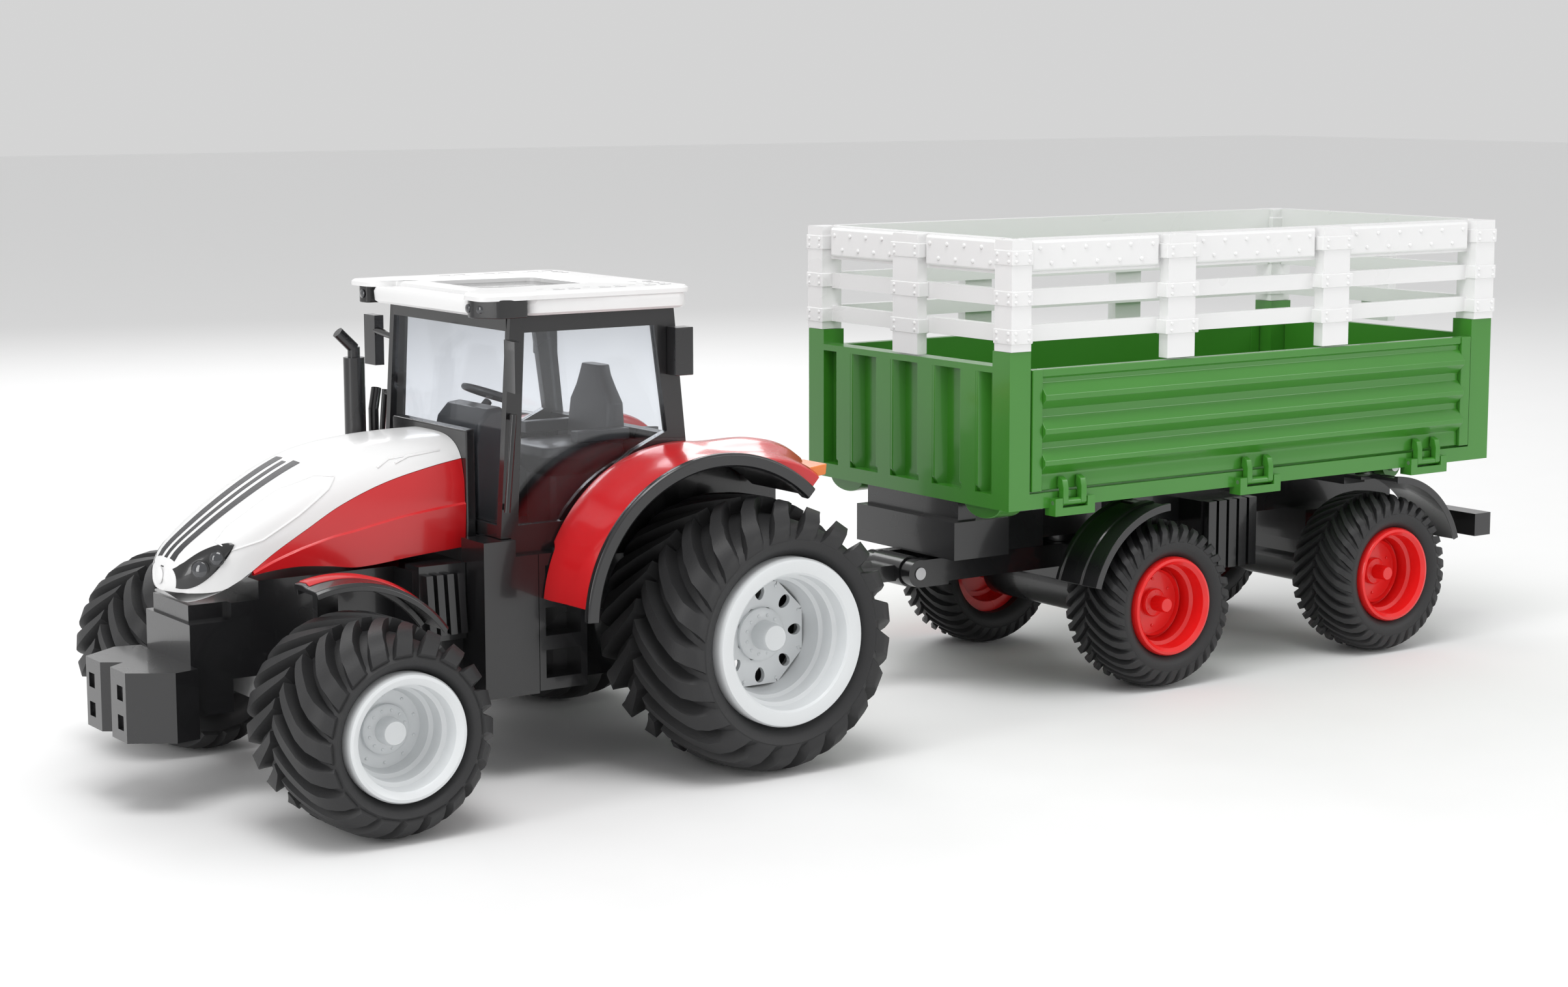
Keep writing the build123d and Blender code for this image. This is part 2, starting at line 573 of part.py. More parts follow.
def gates():
    pin_y = BED_HALF + GATE_PIN_OUT
    panel = box(-304, -108.6, 50, 52.8, 68.3, 106)
    for z0, z1 in ((74.1, 80.6), (83.5, 90.8), (94.4, 101.7)):
        panel += box(-300, -112, 52.5, 53.8, z0, z1)
    for x0, x1 in HINGE_X:
        a = x0 + 3.25
        b = x1 - 3.25
        strap = box(a, b, pin_y - 1.2, pin_y + 1.2, GATE_PIN_Z, 72)
        strap += box(a, b, 52, pin_y, 68.3, 72)
        strap += rod_x(a, b, pin_y, GATE_PIN_Z, 1.2)
        panel += strap
        panel -= rod_x(a - 1, b + 1, pin_y, GATE_PIN_Z, 0.7 + PIN_FIT)
    save("side_gate_left", panel)
    save("side_gate_right", other_side(panel))

    pin_x = BED_REAR - GATE_PIN_OUT
    tail = box(-314.1, -311.3, -44.1, 44.1, 68.3, 106)
    for z0, z1 in ((74.1, 80.6), (83.5, 90.8), (94.4, 101.7)):
        tail += box(-315.1, -313.8, -41, 41, z0, z1)
    for y0, y1 in HINGE_Y:
        a = y0 + 3.25
        b = y1 - 3.25
        strap = box(pin_x - 1.2, pin_x + 1.2, a, b, GATE_PIN_Z, 72)
        strap += box(pin_x, -313, a, b, 68.3, 72)
        strap += rod_y(pin_x, GATE_PIN_Z, 1.2, a, b)
        tail += strap
        tail -= rod_y(pin_x, GATE_PIN_Z, 0.7 + PIN_FIT, a - 1, b + 1)
    save("tailgate", tail)


def rack():
    rails = ((114.4, 119.5), (125.4, 130.5), (135, RACK_TOP))
    side = []
    for z0, z1 in rails:
        side.append(box(-305, -107.6, 46.8, 49.6, z0, z1))
    for x0, x1 in ((-175, -163.4), (-244, -232)):
        side.append(box(x0, x1, 49.6, 53.6, 106.6, RACK_TOP - 0.4))
    for x0, x1 in ((-107.6, -99.8), (-314.4, -305)):
        post = box(x0, x1, 45.4, 53.6, POST_TOP + 0.1, RACK_TOP - 0.2)
        mid = -104 if x0 > -200 else -309.5
        post += box(mid - 2.1, mid + 2.1, 46.8, 50, POST_TOP - 7, POST_TOP + 0.2)
        side.append(post)
    left = group(side)
    save("rack_sides", group([left, other_side(left)]))

    ends = []
    for z0, z1 in rails:
        ends.append(box(-106.4, -103.6, -45.4, 45.4, z0, z1))
        ends.append(box(-312.4, -309.6, -45.4, 45.4, z0, z1))
    ends.append(box(-103.6, -99.8, -6.5, 6.5, 107.6, RACK_TOP - 0.4))
    ends.append(box(-316.2, -312.4, -6.5, 6.5, 107.6, RACK_TOP - 0.4))
    save("rack_ends", group(ends))


tractor_rear_wheels()
tractor_front_wheels()
trailer_wheels()
tractor_chassis()
steering()
bonnet()
engine_side()
save("work_lamps", group(cab() + cab_fittings()))
rear_fenders()
hitch()
drawbar()
dolly()
trailer_chassis()
bed()
gates()
rack()
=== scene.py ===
import json
import math
import bpy
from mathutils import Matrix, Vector


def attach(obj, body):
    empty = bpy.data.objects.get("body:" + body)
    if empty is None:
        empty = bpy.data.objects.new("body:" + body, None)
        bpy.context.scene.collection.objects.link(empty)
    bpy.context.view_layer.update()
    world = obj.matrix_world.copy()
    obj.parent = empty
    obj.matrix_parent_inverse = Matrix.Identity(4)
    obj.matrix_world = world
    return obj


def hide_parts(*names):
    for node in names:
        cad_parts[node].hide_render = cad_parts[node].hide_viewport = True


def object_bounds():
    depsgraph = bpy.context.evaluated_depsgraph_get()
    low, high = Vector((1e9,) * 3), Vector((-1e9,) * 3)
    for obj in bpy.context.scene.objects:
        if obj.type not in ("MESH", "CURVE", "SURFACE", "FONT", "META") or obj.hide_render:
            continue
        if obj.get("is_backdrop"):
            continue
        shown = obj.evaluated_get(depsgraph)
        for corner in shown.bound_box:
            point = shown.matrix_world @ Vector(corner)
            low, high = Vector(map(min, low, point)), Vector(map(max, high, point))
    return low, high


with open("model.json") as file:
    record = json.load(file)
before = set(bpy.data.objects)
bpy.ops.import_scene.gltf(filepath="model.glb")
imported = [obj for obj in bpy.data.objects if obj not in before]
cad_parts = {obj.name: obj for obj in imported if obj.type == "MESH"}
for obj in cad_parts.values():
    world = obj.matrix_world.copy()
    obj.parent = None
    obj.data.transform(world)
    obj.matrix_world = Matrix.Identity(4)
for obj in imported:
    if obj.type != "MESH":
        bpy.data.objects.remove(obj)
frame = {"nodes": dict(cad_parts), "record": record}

START_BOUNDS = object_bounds()

# Lengths below are in millimetres, with the tractor's rear axle at x = 0.
# place() turns them into the shared frame: metres, origin under the middle.
SHIFT = 81.0
MM = 0.001


def place(x, y, z):
    return ((x + SHIFT) * MM, y * MM, z * MM)


# ---------------------------------------------------------------- materials
def base_material(name, colour, rough, metallic=0.0, coat=0.0, mottle=0.06, bump=0.05, scale=900.0,
                  specular=0.5):
    """Moulded plastic or rubber: colour and gloss wander a little, with a fine surface grain."""
    mat = bpy.data.materials.new(name)
    mat.use_nodes = True
    tree = mat.node_tree
    shader = tree.nodes["Principled BSDF"]
    coords = tree.nodes.new("ShaderNodeTexCoord")
    cloud = tree.nodes.new("ShaderNodeTexNoise")
    cloud.inputs["Scale"].default_value = 35.0
    cloud.inputs["Detail"].default_value = 3.0
    grain = tree.nodes.new("ShaderNodeTexNoise")
    grain.inputs["Scale"].default_value = scale
    grain.inputs["Detail"].default_value = 2.0
    tree.links.new(coords.outputs["Object"], cloud.inputs["Vector"])
    tree.links.new(coords.outputs["Object"], grain.inputs["Vector"])
    mix = tree.nodes.new("ShaderNodeMix")
    mix.data_type = "RGBA"
    darker = [c * (1 - mottle) for c in colour]
    lighter = [min(1.0, c * (1 + mottle) + 0.002) for c in colour]
    mix.inputs["A"].default_value = (*darker, 1)
    mix.inputs["B"].default_value = (*lighter, 1)
    tree.links.new(cloud.outputs["Fac"], mix.inputs["Factor"])
    tree.links.new(mix.outputs["Result"], shader.inputs["Base Color"])
    span = tree.nodes.new("ShaderNodeMapRange")
    span.inputs["To Min"].default_value = rough * 0.85
    span.inputs["To Max"].default_value = min(1.0, rough * 1.2)
    tree.links.new(cloud.outputs["Fac"], span.inputs["Value"])
    tree.links.new(span.outputs["Result"], shader.inputs["Roughness"])
    dents = tree.nodes.new("ShaderNodeBump")
    dents.inputs["Strength"].default_value = bump
    dents.inputs["Distance"].default_value = 0.0002
    tree.links.new(grain.outputs["Fac"], dents.inputs["Height"])
    tree.links.new(dents.outputs["Normal"], shader.inputs["Normal"])
    shader.inputs["Metallic"].default_value = metallic
    shader.inputs["Coat Weight"].default_value = coat
    shader.inputs["Coat Roughness"].default_value = 0.08
    shader.inputs["Specular IOR Level"].default_value = specular
    return mat


WHITE = base_material("white_gloss", (0.86, 0.86, 0.86), 0.28, coat=0.35, mottle=0.01)
RIM = base_material("rim_white", (0.72, 0.74, 0.75), 0.34, coat=0.2, mottle=0.02)
RED = base_material("tractor_red", (0.62, 0.012, 0.016), 0.24, coat=0.5, mottle=0.05)
BLACK = base_material("black_gloss", (0.012, 0.012, 0.013), 0.26, coat=0.5, mottle=0.2)
RUBBER = base_material("tyre_rubber", (0.022, 0.022, 0.023), 0.52, mottle=0.18, bump=0.22, scale=1600.0,
                       specular=0.42)
GREEN = base_material("trailer_green", (0.045, 0.235, 0.02), 0.30, coat=0.4, mottle=0.05)
TRAILER_RED = base_material("rim_red", (0.80, 0.012, 0.012), 0.28, coat=0.3, mottle=0.04)
STEEL = base_material("pin_steel", (0.55, 0.55, 0.56), 0.32, metallic=1.0, mottle=0.08)
GREY = base_material("cab_grey", (0.060, 0.061, 0.065), 0.40, coat=0.15, mottle=0.10)
STRIPE = base_material("stripe_carbon", (0.028, 0.028, 0.032), 0.42, mottle=0.5, bump=0.5, scale=2600.0)
LENS = base_material("lamp_lens", (0.035, 0.037, 0.042), 0.08, coat=1.0, mottle=0.3)
CHROME = base_material("lamp_reflector", (0.60, 0.61, 0.63), 0.18, metallic=1.0, mottle=0.1)
ORANGE = base_material("marker_orange", (0.85, 0.22, 0.02), 0.25, coat=0.5, mottle=0.08)
PRINT = base_material("roof_print", (0.20, 0.20, 0.21), 0.5, mottle=0.3)


def glass_material():
    mat = bpy.data.materials.new("clear_window")
    mat.use_nodes = True
    tree = mat.node_tree
    for node in list(tree.nodes):
        tree.nodes.remove(node)
    out = tree.nodes.new("ShaderNodeOutputMaterial")
    clear = tree.nodes.new("ShaderNodeBsdfTransparent")
    shine = tree.nodes.new("ShaderNodeBsdfGlossy")
    coords = tree.nodes.new("ShaderNodeTexCoord")
    haze = tree.nodes.new("ShaderNodeTexNoise")
    haze.inputs["Scale"].default_value = 22.0
    tree.links.new(coords.outputs["Object"], haze.inputs["Vector"])
    tint = tree.nodes.new("ShaderNodeMix")
    tint.data_type = "RGBA"
    tint.inputs["A"].default_value = (0.90, 0.91, 0.93, 1)
    tint.inputs["B"].default_value = (0.97, 0.98, 0.99, 1)
    tree.links.new(haze.outputs["Fac"], tint.inputs["Factor"])
    tree.links.new(tint.outputs["Result"], clear.inputs["Color"])
    shine.inputs["Roughness"].default_value = 0.04
    mix = tree.nodes.new("ShaderNodeMixShader")
    mix.inputs["Fac"].default_value = 0.05
    tree.links.new(clear.outputs["BSDF"], mix.inputs[1])
    tree.links.new(shine.outputs["BSDF"], mix.inputs[2])
    tree.links.new(mix.outputs["Shader"], out.inputs["Surface"])
    return mat


WINDOW = glass_material()


# ---------------------------------------------------------------- mesh tools
def smooth_step(t):
    t = min(1.0, max(0.0, t))
    return t * t * (3 - 2 * t)


def curve_at(table, x):
    """Smooth value of a named outline at x; the outline is a list of (x, value), x rising."""
    if x <= table[0][0]:
        return table[0][1]
    if x >= table[-1][0]:
        return table[-1][1]
    for i in range(len(table) - 1):
        x0, a = table[i]
        x1, b = table[i + 1]
        if x0 <= x <= x1:
            prev = table[i - 1] if i else table[i]
            nxt = table[i + 2] if i + 2 < len(table) else table[i + 1]
            m0 = (b - prev[1]) / (x1 - prev[0])
            m1 = (nxt[1] - a) / (nxt[0] - x0)
            h = x1 - x0
            t = (x - x0) / h
            return ((2 * t ** 3 - 3 * t ** 2 + 1) * a + (t ** 3 - 2 * t ** 2 + t) * h * m0
                    + (3 * t ** 2 - 2 * t ** 3) * b + (t ** 3 - t ** 2) * h * m1)
    return table[-1][1]


class Shape:
    """Collects vertices and faces in millimetres and turns them into one object."""

    def __init__(self):
        self.verts = []
        self.faces = []

    def add(self, verts, faces):
        base = len(self.verts)
        self.verts += verts
        self.faces += [tuple(base + i for i in face) for face in faces]

    def grid(self, rows, close_u=False, close_v=False, flip=False):
        count = len(rows[0])
        verts = [p for row in rows for p in row]
        faces = []
        for i in range(len(rows) if close_u else len(rows) - 1):
            for j in range(count if close_v else count - 1):
                a = i * count + j
                b = i * count + (j + 1) % count
                c = ((i + 1) % len(rows)) * count + (j + 1) % count
                d = ((i + 1) % len(rows)) * count + j
                faces.append((d, c, b, a) if flip else (a, b, c, d))
        self.add(verts, faces)

    def solid(self, rings):
        """Closed body through a list of outlines with equal point counts, capped at both ends."""
        count = len(rings[0])
        verts = [p for ring in rings for p in ring]
        faces = []
        for i in range(len(rings) - 1):
            for j in range(count):
                k = (j + 1) % count
                faces.append((i * count + j, i * count + k, (i + 1) * count + k, (i + 1) * count + j))
        faces.append(tuple(reversed(range(count))))
        faces.append(tuple((len(rings) - 1) * count + j for j in range(count)))
        self.add(verts, faces)

    def block(self, x0, x1, y0, y1, z0, z1):
        y0, y1 = min(y0, y1), max(y0, y1)
        self.solid([[(x0, y0, z), (x1, y0, z), (x1, y1, z), (x0, y1, z)] for z in (z0, z1)])

    def prism_y(self, outline, y0, y1):
        self.solid([[(x, y, z) for x, z in outline] for y in (y0, y1)])

    def prism_z(self, outline, z0, z1):
        self.solid([[(x, y, z) for x, y in outline] for z in (z0, z1)])

    def lathe(self, x, z, profile, count=96, side=1):
        """Turned ring about a wheel axle; profile is a closed list of (radius, y)."""
        rows = []
        for i in range(count):
            a = 2 * math.pi * i / count
            rows.append([(x + r * math.cos(a), side * y, z + r * math.sin(a)) for r, y in profile])
        self.grid(rows, close_u=True, close_v=True)

    def tube(self, path, radius, count=14):
        """Round bar along a list of points."""
        points = [Vector(p) for p in path]
        rings = []
        up = Vector((0, 1, 0.3)).normalized()
        for i, p in enumerate(points):
            ahead = points[min(i + 1, len(points) - 1)] - points[max(i - 1, 0)]
            ahead.normalize()
            side = ahead.cross(up)
            if side.length < 0.01:
                side = ahead.cross(Vector((1, 0, 0)))
            side.normalize()
            other = ahead.cross(side)
            r = radius[i] if isinstance(radius, (list, tuple)) else radius
            rings.append([tuple(p + side * (r * math.cos(2 * math.pi * k / count))
                                + other * (r * math.sin(2 * math.pi * k / count)))
                          for k in range(count)])
        self.solid(rings)

    def dome(self, centre, normal, radius, height, count=12):
        """Low round head, for bolts and rivets."""
        n = Vector(normal).normalized()
        u = n.orthogonal().normalized()
        v = n.cross(u)
        c = Vector(centre)
        rings = []
        for r, h in ((1.0, -0.2), (1.0, 0.25), (0.82, 0.7), (0.35, 1.0)):
            rings.append([tuple(c + n * (height * h)
                                + u * (radius * r * math.cos(2 * math.pi * k / count))
                                + v * (radius * r * math.sin(2 * math.pi * k / count)))
                          for k in range(count)])
        self.solid(rings)

    def mirrored(self):
        other = Shape()
        other.verts = [(x, -y, z) for x, y, z in self.verts]
        other.faces = [tuple(reversed(f)) for f in self.faces]
        return other

    def both_sides(self):
        other = self.mirrored()
        self.add(other.verts, other.faces)
        return self

    def make(self, name, material, body, slot, stands_for=(), bevel=0.0, angle=35.0):
        mesh = bpy.data.meshes.new(name)
        mesh.from_pydata([place(*v) for v in self.verts], [], self.faces)
        mesh.validate()
        mesh.update()
        piece = bpy.data.objects.new(name, mesh)
        bpy.context.scene.collection.objects.link(piece)
        bpy.ops.object.select_all(action="DESELECT")
        bpy.context.view_layer.objects.active = piece
        piece.select_set(True)
        bpy.ops.object.mode_set(mode="EDIT")
        bpy.ops.mesh.select_all(action="SELECT")
        bpy.ops.mesh.normals_make_consistent(inside=False)
        bpy.ops.object.mode_set(mode="OBJECT")
        finish_mesh(piece, material, bevel, angle)
        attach(piece, body)
        if stands_for:
            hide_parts(*stands_for)
        return piece


def finish_mesh(piece, material, bevel, angle=35.0):
    mesh = piece.data
    mesh.materials.clear()
    mesh.materials.append(material)
    for poly in mesh.polygons:
        poly.use_smooth = True
    mesh.set_sharp_from_angle(angle=math.radians(angle))
    if bevel:
        mod = piece.modifiers.new("edge_round", "BEVEL")
        mod.width = bevel * MM
        mod.segments = 2
        mod.limit_method = "ANGLE"
        mod.angle_limit = math.radians(32)
        mod.harden_normals = True


# ---------------------------------------------------------------- wheels
def tyre(name, x, radius, rim_r, y0, y1, side, spec, body, node):
    """Farm tyre: rounded carcass, smooth walls, and slanted lugs that wrap over each shoulder."""
    lugs, tall, wide, sweep, wall_lug = spec
    mid = (y0 + y1) / 2
    half = (y1 - y0) / 2
    base = radius - tall
    deep = base - rim_r
    wall = [(0.0, base), (0.30, base - 0.01 * deep), (0.60, base - 0.05 * deep),
            (0.82, base - 0.16 * deep), (0.95, base - 0.33 * deep), (1.0, base - 0.52 * deep),
            (0.97, base - 0.72 * deep), (0.90, base - 0.88 * deep), (0.80, rim_r)]
    profile = []
    for f, r in wall:
        profile.append((r, mid + f * half))
    for f, r in reversed(wall[1:]):
        profile.append((r, mid - f * half))
    rubber = Shape()
    ring = profile[len(wall) - 1:] + profile[:len(wall) - 1]
    rubber.lathe(x, radius, ring, 120, side)

    def on_wall(s):
        """Point and outward direction along half the section, s from 0 (crown) to 1 (wall)."""
        steps = wall[:7]
        lengths = [0.0]
        for (f0, r0), (f1, r1) in zip(steps, steps[1:]):
            lengths.append(lengths[-1] + math.hypot((f1 - f0) * half, r1 - r0))
        want = s * lengths[-1]
        for i in range(len(steps) - 1):
            if want <= lengths[i + 1] + 1e-9:
                t = (want - lengths[i]) / (lengths[i + 1] - lengths[i])
                f = steps[i][0] + t * (steps[i + 1][0] - steps[i][0])
                r = steps[i][1] + t * (steps[i + 1][1] - steps[i][1])
                df = (steps[i + 1][0] - steps[i][0]) * half
                dr = steps[i + 1][1] - steps[i][1]
                size = math.hypot(df, dr)
                return f * half, r, -dr / size, df / size
        return half, steps[-1][1], 1.0, 0.0

    count = 12
    end = wall_lug
    for hand in (-1, 1):
        for i in range(lugs):
            start_angle = 2 * math.pi * (i + (0.5 if hand > 0 else 0.0)) / lugs
            rings = []
            for k in range(count + 1):
                t = k / count
                s = 0.02 + t * (end - 0.02)
                off, r, ny, nr = on_wall(s)
                lean = math.radians(sweep) * (t ** 0.85)
                angle = start_angle - lean
                full = tall * (1.0 if t < 0.72 else 1.0 - 0.62 * ((t - 0.72) / 0.28))
                thick = wide * (0.72 + 0.5 * t) / r
                high_r = min(r + nr * full, radius)
                high_off = min(off + ny * full, half)
                pair = []
                for grow, rr, oo in ((1.35, r - 0.5, off - 0.5 * ny), (0.82, high_r, high_off)):
                    for turn in (-1, 1):
                        a = angle + turn * thick * grow / 2
                        pair.append((x + rr * math.cos(a), side * (mid + hand * oo),
                                     radius + rr * math.sin(a)))
                rings.append([pair[0], pair[1], pair[3], pair[2]])
            rubber.solid(rings)
    return rubber


def rim(x, z, radius, face_y, spec):
    """Dished wheel: wide flange, stepped barrel, disc, hub and bolts."""
    lip_r, disc_y, hub_r, hub_y, holes, bolts = spec
    metal = Shape()
    outer = [
        (radius, face_y - 46), (radius, face_y - 1.2), (radius - 0.5, face_y - 0.2),
        (radius - 1.3, face_y), (lip_r + 0.6, face_y - 0.5), (lip_r, face_y - 1.1),
        (lip_r - 0.4, face_y - 5.5), (lip_r - 1.5, face_y - 6.2), (lip_r - 1.7, face_y - 10.5),
        (lip_r - 2.7, face_y - 11.3), (lip_r - 2.9, disc_y + 1.2), (lip_r - 3.6, disc_y + 0.1),
        (lip_r - 3.6, disc_y - 3), (lip_r - 2.0, disc_y - 3), (lip_r - 1.0, face_y - 46),
    ]
    keep = [p for p in outer]
    low = min(p[1] for p in keep if p[1] > face_y - 45.9)
    if low < face_y - 44:
        low = face_y - 44
    shape = [(r, max(y, disc_y - 9)) for r, y in keep]
    metal.lathe(x, z, shape)
    disc_r = lip_r - 3.4
    if holes:
        step = 2 * math.pi / holes
        hole_mid = (disc_r + hub_r) / 2 + 0.2
        long_half = (disc_r - hub_r) * 0.27
        wide_half = long_half * 0.72 / hole_mid
        for i in range(holes):
            centre = step * i
            loops = []
            for y_level in (disc_y, disc_y - 1.6):
                inner = []
                edge = []
                for k in range(32):
                    phi = 2 * math.pi * k / 32 + math.pi / 32
                    c, s = math.cos(phi), math.sin(phi)
                    inner.append((hole_mid + long_half * c, centre + wide_half * s))
                    reach_r = (disc_r - hole_mid if c > 0 else hole_mid - hub_r + 0.5)
                    reach_a = step / 2
                    grow = min(reach_r / max(abs(c), 1e-6), reach_a / max(abs(s), 1e-6))
                    edge.append((hole_mid + grow * c, centre + grow * s))
                loops.append((inner, edge, y_level))
            def at(p, y):
                return (x + p[0] * math.cos(p[1]), y, z + p[0] * math.sin(p[1]))
            for inner, edge, y_level in loops:
                metal.grid([[at(p, y_level) for p in inner], [at(p, y_level) for p in edge]],
                           close_v=True)
            metal.grid([[at(p, loops[0][2]) for p in loops[0][0]],
                        [at(p, loops[1][2]) for p in loops[1][0]]], close_v=True)
    else:
        metal.lathe(x, z, [(hub_r - 1, disc_y), (disc_r, disc_y), (disc_r, disc_y - 1.6),
                           (hub_r - 1, disc_y - 1.6)])
    metal.lathe(x, z, [(0.01, hub_y), (hub_r * 0.46, hub_y), (hub_r * 0.52, hub_y - 0.6),
                       (hub_r * 0.55, disc_y + 2.0), (hub_r * 0.92, disc_y + 1.6),
                       (hub_r, disc_y + 1.1), (hub_r, disc_y - 8), (0.01, disc_y - 8)], 48)
    for ring_r, many, size, level in bolts:
        for i in range(many):
            a = 2 * math.pi * (i + 0.5) / many
            metal.dome((x + ring_r * math.cos(a), level, z + ring_r * math.sin(a)), (0, 1, 0), size,
                       size * 0.9)
    return metal


def build_wheels():
    rear_rim = rim(0, 38.5, 24.0, 81.3, (19.2, 64.5, 7.6, 72.5, 8,
                   ((5.6, 12, 0.55, 66.1), (14.4, 8, 0.5, 64.5))))
    rear_rim.both_sides().make("rear_wheel_centres", RIM, "rear_wheels", "rim_white", ("rear_rims",))
    rubber = tyre("rear", 0, 38.5, 24.0, 34, 81, 1, (21, 4.6, 5.0, 30, 0.92), "rear_wheels", "")
    rubber.both_sides().make("rear_tractor_tyres", RUBBER, "rear_wheels", "rubber", ("rear_tyres",))
    for side, word in ((1, "left"), (-1, "right")):
        metal = rim(120, 28, 17.0, 83.0, (13.9, 68.5, 6.6, 75, 0,
                    ((5.2, 12, 0.42, 70.2), (8.9, 10, 0.42, 68.5))))
        rubber = tyre("front", 120, 28, 17.0, 38, 83, 1, (20, 3.6, 4.2, 30, 0.90), "", "")
        if side < 0:
            metal = metal.mirrored()
            rubber = rubber.mirrored()
        metal.make("front_wheel_centre_" + word, RIM, "front_wheel_" + word, "rim_white",
                   ("front_rim_" + word,))
        rubber.make("front_tractor_tyre_" + word, RUBBER, "front_wheel_" + word, "rubber",
                    ("front_tyre_" + word,))
    for x, body, word in ((-165, "dolly_wheels", "front"), (-266, "trailer_rear_wheels", "rear")):
        metal = rim(x, 27, 16.0, 57.0, (13.6, 46.5, 4.6, 53.6, 0, ((3.6, 6, 0.4, 48.0), (7.6, 6, 0.5, 46.5))))
        metal.both_sides().make("trailer_" + word + "_wheel_centres", TRAILER_RED, body, "trailer_red",
                                ("trailer_" + word + "_rims",))
        rubber = tyre("trailer", x, 27, 16.0, 32, 57, 1, (34, 1.9, 2.3, 24, 0.86), "", "")
        rubber.both_sides().make("trailer_" + word + "_treads", RUBBER, body, "rubber",
                                 ("trailer_" + word + "_tyres",))


# ---------------------------------------------------------------- hood
HOOD_TOP = [(66, 95.6), (80, 95.5), (95, 94.6), (106, 92.8), (115, 89.6), (125, 84.4), (135, 78.2),
            (143, 72.6), (148, 68.6), (150.5, 65.4), (151.8, 61.5)]
HOOD_WIDE = [(66, 21.4), (100, 21.2), (115, 20.6), (126, 19.4), (135, 17.6), (142, 15.2), (147, 12.4),
             (150, 9.3), (151.2, 6.6), (151.9, 3.2)]
HOOD_LOW = [(66, 64.8), (85, 63.4), (103, 61.9), (112, 63.0), (122, 63.6), (134, 61.8), (140, 58.6),
            (146, 56.2), (149.5, 55.6), (151.9, 57.8)]
HOOD_LINE = [(66, 89.9), (80, 87.8), (95, 84.4), (108, 79.4), (118, 73.6), (127, 67.8), (134, 62.4),
             (140, 58.6), (151.9, 57.8)]


def hood_y(x, z):
    """Half width of the hood at height z."""
    top = curve_at(HOOD_TOP, x)
    low = curve_at(HOOD_LOW, x)
    wide = curve_at(HOOD_WIDE, x)
    if x > 149:
        centre = (top + low) / 2
        u = min(1.0, abs(z - centre) / max(0.01, (top - low) / 2))
        return wide * (1 - u ** 2.6) ** (1 / 2.6)
    knee = low + (top - low) * 0.42
    if z <= knee:
        return wide * (1 - 0.03 * (knee - z) / (knee - low + 0.01))
    u = min(1.0, (z - knee) / (top - knee))
    return wide * (1 - u ** 3.3) ** (1 / 3.3)


def hood_z(x, y):
    """Height of the hood's upper surface at y from the centre line."""
    top = curve_at(HOOD_TOP, x)
    low = curve_at(HOOD_LOW, x)
    wide = curve_at(HOOD_WIDE, x)
    v = min(1.0, abs(y) / wide)
    if x > 149:
        centre = (top + low) / 2
        return centre + (top - centre) * (1 - v ** 2.6) ** (1 / 2.6)
    knee = low + (top - low) * 0.42
    return knee + (top - knee) * (1 - v ** 3.3) ** (1 / 3.3)


